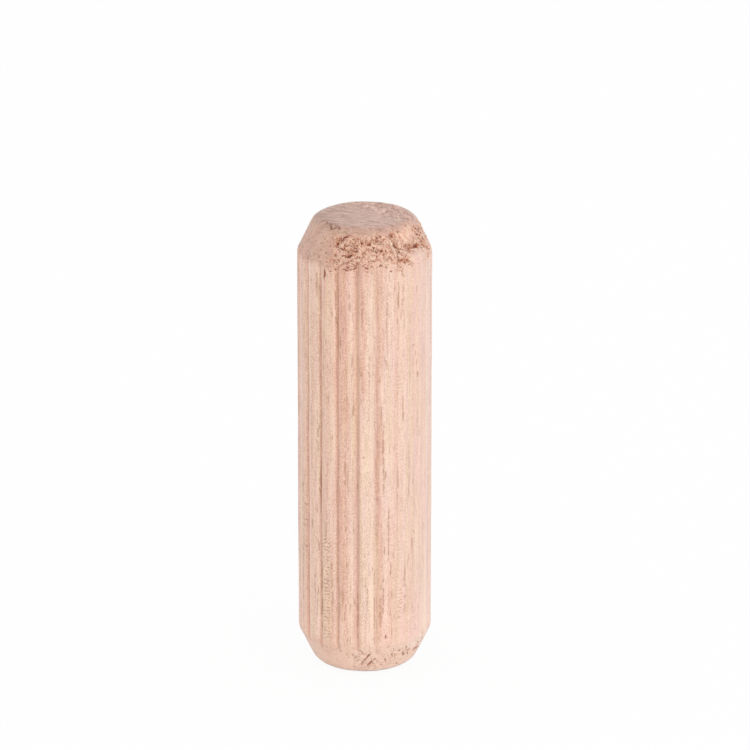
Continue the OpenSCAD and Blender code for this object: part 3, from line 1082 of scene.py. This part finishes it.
def torn_wood(g, spot, torn, colour, colours):
    """Torn wood: mottled chips, small pits, curled fibre edges in painted highlight and shadow,
    painted shadow in the hollows under the flakes, and deep gashes.
    """
    place = spot.place
    tear, lift, hollow = kept(g, TEAR), kept(g, LIFT), kept(g, HOLLOW)
    threaded, plain = flakes(g, spot)
    thin = g.ramp(spot.azimuth, -14.0, -4.0) * g.ramp(spot.from_end, 1.6, 2.5) * 0.5
    rough = torn * (1.0 - threaded * 0.75) * (1.0 - plain * 0.9) * (1.0 - thin)
    chips = g.sway(place, 4.2, 2.0, 0.65)
    specks = g.sway(place, 9.0, 1.0)
    bruised = g.ramp(spot.azimuth, -20.0, -32.0, 0.0, 0.10)
    mottle = g.ramp(chips + specks * 0.9 + bruised, -0.14, 0.28)
    mottle = g.blend(mottle, colours.fresh, colours.torn)
    colour = g.blend(rough * 0.80, colour, mottle)
    over = spot.azimuth * 0.070 - spot.from_end * 0.45
    down = spot.azimuth * 0.006 + spot.from_end * 0.22
    threads = g.noise(g.vector(over, down, 0.0), 6.0, 2.0, 0.6)
    threads = g.blend(g.ramp(threads, 0.48, 0.60), colours.fresh, colours.torn)
    colour = g.blend(torn * threaded * 0.85, colour, threads)

    push = g.sway(place, 1.3, 1.0) * 1.3
    curl = g.sway(g.plus(place, g.vector(push, push * -0.7, push)), 2.6, 1.0)
    gate = rough * g.ramp(g.noise(place, 2.3, 1.0), 0.42, 0.54)
    # The worn mask is painted shadow in the hollows under the lifted flakes: brown, and gash red
    # where they are deepest
    worn = g.clamp(hollow + chips * 0.6 + specks * 0.5, 0.0, 1.0) * g.ramp(hollow, 0.0, 0.2)
    colour = g.blend(g.ramp(worn, 0.0, 0.55) * 0.75, colour, colours.hollow)
    colour = g.blend(g.ramp(worn, 0.55, 1.0) * 0.85, colour, colours.gash)
    # Curled fibre edges: a painted highlight on one side of each and a painted shadow on the other,
    # standing for raised edges that catch the light and cast a little shade
    painted_edge_highlight = g.window(curl, 0.0, 0.10, 0.04) * gate
    painted_edge_shadow = g.window(curl, -0.08, 0.0, 0.04) * gate
    pit = rough * g.clamp(crumbs(g, place) + g.ramp(specks + chips, 0.10, 0.22) * 0.5, 0.0, 1.0)
    pit = pit * (1.0 - lift * 0.9)
    dark = g.math("MAXIMUM", pit * g.ramp(specks, -0.16, 0.0), painted_edge_shadow * 0.75)
    colour = g.blend(painted_edge_highlight * 0.5, colour, colours.fibre)
    # Pits and the painted edge shadow both take the pit colour
    colour = g.blend(dark * 0.93, colour, colours.pit)
    gash = g.ramp(tear + specks * 0.7 + chips * 0.5, 0.15, 0.75)
    gash = gash * g.ramp(spot.from_end, 0.25, 0.55, 0.6, 1.0)
    colour = g.blend(gash * g.mix(spot.at_top, 0.64, 0.9), colour, colours.gash)
    raised = lift * g.math("MAXIMUM", torn, 0.7)
    colour = g.blend(raised * 0.60, colour, colours.fibre)
    height = (painted_edge_highlight - painted_edge_shadow) * 0.3 - torn * chips * 0.4 - (pit + gash) * 0.3
    return colour, height


def wood_material(colours):
    """Bare wood with its grain, cut ends and torn places."""
    material = bpy.data.materials.new("Bare beech")
    g = emptied(material)
    place = g.times(kept(g, PLACE, 1), 1 / MM)
    spot = Spot(g, place)
    torn = torn_zone(g, spot)
    frayed_rim = g.window(spot.azimuth, *FRAYED_RIM) * 0.12
    face_reach = spot.from_end + g.sway(place, 2.0, 2.0) * 0.25 + frayed_rim
    on_face = g.ramp(face_reach, 0.34, 0.10)

    colour, relief = long_grain(g, spot, kept(g, FLUTE), colours)
    colour = cut_wood(g, spot, colour, colours)
    colour = g.blend(on_face * 0.9, colour, end_grain(g, spot, colours))
    colour, torn_relief = torn_wood(g, spot, torn, colour, colours)
    finish(g, colour, relief * (1.0 - on_face * 0.7) + torn_relief)
    return material


def fibre_material(colours):
    """Torn fibres: pale to reddish, streaked along."""
    material = bpy.data.materials.new("Torn fibres")
    g = emptied(material)
    place = g.times(g.value("ShaderNodeTexCoord", None, None, 3), 1 / MM)
    fine = g.noise(place, 9.0, 1.0)
    colour = g.blend(g.ramp(kept(g, TONE), 0.35, 0.9), colours.fibre, colours.torn)
    colour = g.blend(g.ramp(fine, 0.45, 0.70) * 0.3, colour, colours.hollow)
    finish(g, colour, fine, 0.0)
    return material


BUMP_DEPTH = 0.05 * MM
FUZZ = 0.55
BARE_WOOD = {"Roughness": 0.72, "IOR": 1.45, "Specular IOR Level": 0.25, "Sheen Roughness": 0.35}


def finish(g, colour, height, sheen=FUZZ):
    """Bare wood's dull surface with this colour and relief, and a soft sheen off its fibres."""
    bump = g.value(
        "ShaderNodeBump", None, {"Strength": 1.0, "Distance": BUMP_DEPTH, "Height": height}
    )
    surface = {"Base Color": colour, "Normal": bump, "Sheen Weight": sheen, **BARE_WOOD}
    shader = g.value("ShaderNodeBsdfPrincipled", None, surface)
    g.node("ShaderNodeOutputMaterial", None, {"Surface": shader})


# Settings


def count(name, description, default):
    return bpy.props.IntProperty(name=name, description=description, default=default)


def number(name, description, default, unit="NONE"):
    return bpy.props.FloatProperty(
        name=name, description=description, default=default, unit=unit, precision=5
    )


def size(name, description, millimetres):
    return number(name, description, millimetres * MM, "LENGTH")


def by_name(group):
    """The values of a property group under their plain names."""
    own = [prop for prop in group.bl_rna.properties if prop.identifier not in ("rna_type", "name")]
    return {prop.name: getattr(group, prop.identifier) for prop in own}


def colour(name, description, default):
    return bpy.props.FloatVectorProperty(
        name=name, description=description, default=default, subtype="COLOR", size=3
    )


class DowelShape(bpy.types.PropertyGroup):
    """Sizes of the pin"""

    radius: size("Radius", "Radius over the lands", RADIUS_MM)
    length: number("Length", "Length from end to end", CAD_LENGTH, "LENGTH")
    chamfer_length: size("Chamfer length", "Length of a chamfer along the pin", 2.7)
    chamfer_inset: size("Chamfer inset", "How far a chamfer narrows the radius", 1.3)
    edge_radius: size("Edge radius", "Radius of the worn edge round an end face", 1.1)
    shoulder_radius: size("Shoulder radius", "Radius between chamfer and shaft", 0.8)
    flutes: count("Flutes", "Number of flutes", len(FLUTES))
    first_flute: number(
        "First flute", "Angle of the first flute from +X", math.radians(5.6), "ROTATION"
    )
    flute_width: size("Flute width", "Width of a flute's channel", 0.4)
    flute_depth: size("Flute depth", "Depth of a flute", 0.2)
    lip_drop: size("Lip drop", "How far a land rolls over into a flute", 0.05)
    crown_drop: size("Crown drop", "How far a crowned land falls away to its flutes", 0.08)
    torn_reach: size("Torn reach", "How far a chamfer's close rows go on up the shaft", 0.8)
    columns: count("Columns per flute", "Columns of the mesh from flute to flute", 20)
    crowding: number("Column crowding", "How far the columns crowd into the flutes", 0.45)
    rows_foot: count(ROW_COUNTS[0], "Rows of the mesh on the lower end face", 8)
    rows_low: count(ROW_COUNTS[1], "Rows of the mesh on the lower chamfer", 52)
    rows_shaft: count(ROW_COUNTS[2], "Rows of the mesh on the shaft", 46)
    rows_high: count(ROW_COUNTS[3], "Rows of the mesh on the upper chamfer", 112)
    rows_head: count(ROW_COUNTS[4], "Rows of the mesh on the upper end face", 16)


class FibreShape(bpy.types.PropertyGroup):
    """Sizes of the torn fibres"""

    density: number("Density", "Fibres on a square metre of fully torn wood", 6.0 / (MM * MM))
    length: size("Length", "Length of a fibre", 0.50)
    thickness: size("Thickness", "Radius of a fibre at its thickest", 0.028)
    curl: number("Curl", "How far a fibre arches up, as a share of its length", 0.55)


class WoodColours(bpy.types.PropertyGroup):
    """Colours of the bare wood"""

    pink: colour("Pink wood", "Wood of the pinker bands", (0.945, 0.630, 0.500))
    cream: colour("Cream wood", "Wood of the yellower bands", (0.965, 0.715, 0.580))
    # Pale wood is painted sheen, laid on the right side of the shaft
    pale: colour("Pale wood", "Wood of the paler side", (0.905, 0.69, 0.62))
    grain: colour("Grain", "How the fine grain darkens the wood", (0.66, 0.58, 0.53))
    streak: colour("Streak", "Dark streaks of the lower chamfer", (0.64, 0.38, 0.275))
    pore: colour("Pore", "Open pores along the grain", (0.45, 0.195, 0.11))
    rosy: colour("Rosy wood", "Wood of the reddest bands", (0.83, 0.475, 0.36))
    sallow: colour("Sallow wood", "Wood of the yellowest bands", (0.86, 0.61, 0.42))
    # Bright wood is also the painted highlight on the burrs and beside the nicks
    bright: colour("Bright wood", "Wood of the palest bands and of the burrs", (1.0, 0.76, 0.625))
    # The flute colour is painted shade down the flutes
    groove: colour("Flute", "Floor of a flute", (0.55, 0.30, 0.21))
    end_light: colour("End grain, light", "Light end grain", (0.69, 0.440, 0.365))
    end_dark: colour("End grain, dark", "Dark end grain", (0.40, 0.235, 0.183))
    chamfer: colour("Chamfer tint", "How the slanting cut darkens the wood", (0.82, 0.76, 0.76))
    drag: colour("Drag mark", "Marks of the cutter across the chamfer", (0.48, 0.30, 0.20))
    # The lower cut colours are pale cut wood, made paler still as painted light from below
    cut_pale: colour("Lower cut", "Pale wood of the lower chamfer", (1.0, 0.775, 0.648))
    cut_warm: colour("Lower cut, left", "Warmer wood of the lower chamfer", (0.98, 0.69, 0.555))
    fresh: colour("Torn wood, light", "Light torn wood between the pits", (0.98, 0.66, 0.50))
    torn: colour("Torn wood, dark", "Dark torn wood between the pits", (0.71, 0.355, 0.235))
    # Pit is also the painted shadow beside the curled fibre edges
    pit: colour("Pit", "Small torn pit", (0.46, 0.165, 0.085))
    # Gash is also the deepest painted shadow under the lifted flakes
    gash: colour("Gash", "Deep torn gash", (0.34, 0.085, 0.038))
    # Hollow is also the painted shadow under the lifted flakes and in the nicks
    hollow: colour("Hollow", "Brown wood in the hollows", (0.60, 0.26, 0.145))
    # Lifted fibre is also the painted highlight on the curled fibre edges
    fibre: colour("Lifted fibre", "Pale lifted fibre", (0.97, 0.71, 0.56))


class Studio(bpy.types.PropertyGroup):
    """Camera and lights"""

    elevation: number(
        "Elevation", "Camera's angle above the floor", math.radians(20.0), "ROTATION"
    )
    distance: number("Distance", "From camera to pin", 0.371, "LENGTH")
    scale: number("Scale", "Pixels to a millimetre at the pin", 13.4)
    middle: bpy.props.FloatVectorProperty(
        name="Middle", description="Pixel of the pin's middle", size=2, default=(364.7, 437.9)
    )


def placed(name, data):
    """A new object in the scene that shows this data."""
    made = bpy.data.objects.new(name, data)
    bpy.context.scene.collection.objects.link(made)
    return made


def plain_mesh(name, tree, values):
    """An object whose mesh is what the node tree makes with these values."""
    piece = placed(name, bpy.data.meshes.new(name))
    modifier = piece.modifiers.new(name, "NODES")
    modifier.node_group = tree
    for item in tree.interface.items_tree:
        if item.item_type == "SOCKET" and item.in_out == "INPUT":
            modifier[item.identifier] = values[item.name]
    depsgraph = bpy.context.evaluated_depsgraph_get()
    mesh = bpy.data.meshes.new_from_object(
        piece.evaluated_get(depsgraph), preserve_all_data_layers=True, depsgraph=depsgraph
    )
    piece.modifiers.clear()
    piece.data = mesh
    return piece


class DOWEL_OT_pin(bpy.types.Operator):
    """Build the fluted pin with its torn ends"""

    bl_idname = "dowel.pin"
    bl_label = "Pin"

    def execute(self, context):
        scene = context.scene
        values = by_name(scene.dowel_shape)
        tree = pin_tree(values, wood_material(scene.wood_colours))
        pin = plain_mesh(PIN, tree, values)
        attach(pin, BODY)
        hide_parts(NODE)
        return {"FINISHED"}


class DOWEL_OT_fibres(bpy.types.Operator):
    """Strew curled fibres over the torn wood"""

    bl_idname = "dowel.fibres"
    bl_label = "Torn fibres"

    def execute(self, context):
        values = {"Pin": bpy.data.objects[PIN], **by_name(context.scene.fibre_shape)}
        tree = fibre_tree(values, fibre_material(context.scene.wood_colours))
        fibres = plain_mesh(FIBRES, tree, values)
        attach(fibres, BODY)
        return {"FINISHED"}


FRAME_PIXELS = 750
SENSOR = 36.0
MIDDLE = Vector((0.0, 0.0, CAD_LENGTH / 2))
FLOOR_HALF = 2.0
FLOOR_PAINT = (0.95, 0.95, 0.95, 1.0)
FLOOR_GLOW = 0.93
WHITE = (1.0, 1.0, 1.0, 1.0)
TENT_LIGHT = 0.90
# Lamps: name, place, width and power in watts
LAMPS = (
    ("key", (0.38, -0.44, 0.18), 0.35, 0.68),
    ("rim", (0.50, 0.22, 0.16), 0.40, 0.07),
)


def seen_by(g, *kinds):
    """1 for rays of these kinds, and 0 for other rays."""
    path = g.node("ShaderNodeLightPath")
    return g.clamp(sum_of(Value(g, path.outputs["Is %s Ray" % kind]) for kind in kinds), 0.0, 1.0)


class DOWEL_OT_studio(bpy.types.Operator):
    """Build the floor, the lights and the camera"""

    bl_idname = "dowel.studio"
    bl_label = "Studio"

    def execute(self, context):
        scene = context.scene
        self.camera(scene, scene.studio)
        self.floor()
        self.tent(scene)
        for lamp in LAMPS:
            self.lamp(*lamp)
        scene.view_settings.view_transform = "Standard"
        return {"FINISHED"}

    def camera(self, scene, studio):
        data = bpy.data.cameras.new("camera")
        camera = placed("camera", data)
        back = Vector((0, -math.cos(studio.elevation), math.sin(studio.elevation)))
        data.sensor_width = SENSOR
        pixels = studio.scale * studio.distance / MM
        data.lens = pixels * SENSOR / FRAME_PIXELS
        aim = (-back).to_track_quat("-Z", "Y").to_matrix().to_4x4()
        right = math.atan((FRAME_PIXELS / 2 - studio.middle[0]) / pixels)
        up = math.atan((studio.middle[1] - FRAME_PIXELS / 2) / pixels)
        turn = Matrix.Rotation(-right, 4, "Y") @ Matrix.Rotation(up, 4, "X")
        camera.matrix_world = Matrix.Translation(MIDDLE + back * studio.distance) @ aim @ turn
        scene.camera = camera

    def floor(self):
        corners = [(-1, -1, 0), (1, -1, 0), (1, 1, 0), (-1, 1, 0)]
        mesh = bpy.data.meshes.new("floor")
        mesh.from_pydata([Vector(corner) * FLOOR_HALF for corner in corners], [], [(0, 1, 2, 3)])
        floor = placed("floor", mesh)
        material = bpy.data.materials.new("Studio floor")
        g = emptied(material)
        glowing = seen_by(g, "Camera", "Glossy", "Transmission") * FLOOR_GLOW
        paint = g.value("ShaderNodeBsdfDiffuse", None, {"Color": FLOOR_PAINT})
        glow = g.value("ShaderNodeEmission", None, {"Color": WHITE, "Strength": 1.0})
        surface = g.value("ShaderNodeMixShader", None, {0: glowing, 1: paint, 2: glow})
        g.node("ShaderNodeOutputMaterial", None, {"Surface": surface})
        mesh.materials.append(material)

    def tent(self, scene):
        scene.world = bpy.data.worlds.new("tent")
        g = emptied(scene.world)
        strength = g.mix(seen_by(g, "Camera"), TENT_LIGHT, 1.0)
        background = g.value("ShaderNodeBackground", None, {"Color": WHITE, "Strength": strength})
        g.node("ShaderNodeOutputWorld", None, {"Surface": background})

    def lamp(self, name, place, width, power):
        data = bpy.data.lights.new(name, "AREA")
        data.size = width
        data.energy = power
        lamp = placed(name, data)
        lamp.location = Vector(place)
        lamp.rotation_euler = (MIDDLE - lamp.location).to_track_quat("-Z", "Y").to_euler()


class DOWEL_PT_panel(bpy.types.Panel):
    """Sidebar panel of the pin"""

    bl_idname = "DOWEL_PT_panel"
    bl_label = "Dowel pin"
    bl_space_type = "VIEW_3D"
    bl_region_type = "UI"
    bl_category = "Dowel"

    def draw(self, context):
        for operator in (DOWEL_OT_pin, DOWEL_OT_fibres, DOWEL_OT_studio):
            self.layout.operator(operator.bl_idname)


CLASSES = (
    DowelShape,
    FibreShape,
    WoodColours,
    Studio,
    DOWEL_OT_pin,
    DOWEL_OT_fibres,
    DOWEL_OT_studio,
    DOWEL_PT_panel,
)


GROUPS = {
    "dowel_shape": DowelShape,
    "fibre_shape": FibreShape,
    "wood_colours": WoodColours,
    "studio": Studio,
}


def register():
    for cls in CLASSES:
        bpy.utils.register_class(cls)
    for name, group in GROUPS.items():
        setattr(bpy.types.Scene, name, bpy.props.PointerProperty(type=group))


def unregister():
    for name in GROUPS:
        delattr(bpy.types.Scene, name)
    for cls in reversed(CLASSES):
        bpy.utils.unregister_class(cls)


def main():
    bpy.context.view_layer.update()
    register()
    bpy.ops.dowel.pin()
    bpy.ops.dowel.fibres()
    bpy.ops.dowel.studio()


if __name__ == "__main__":
    main()
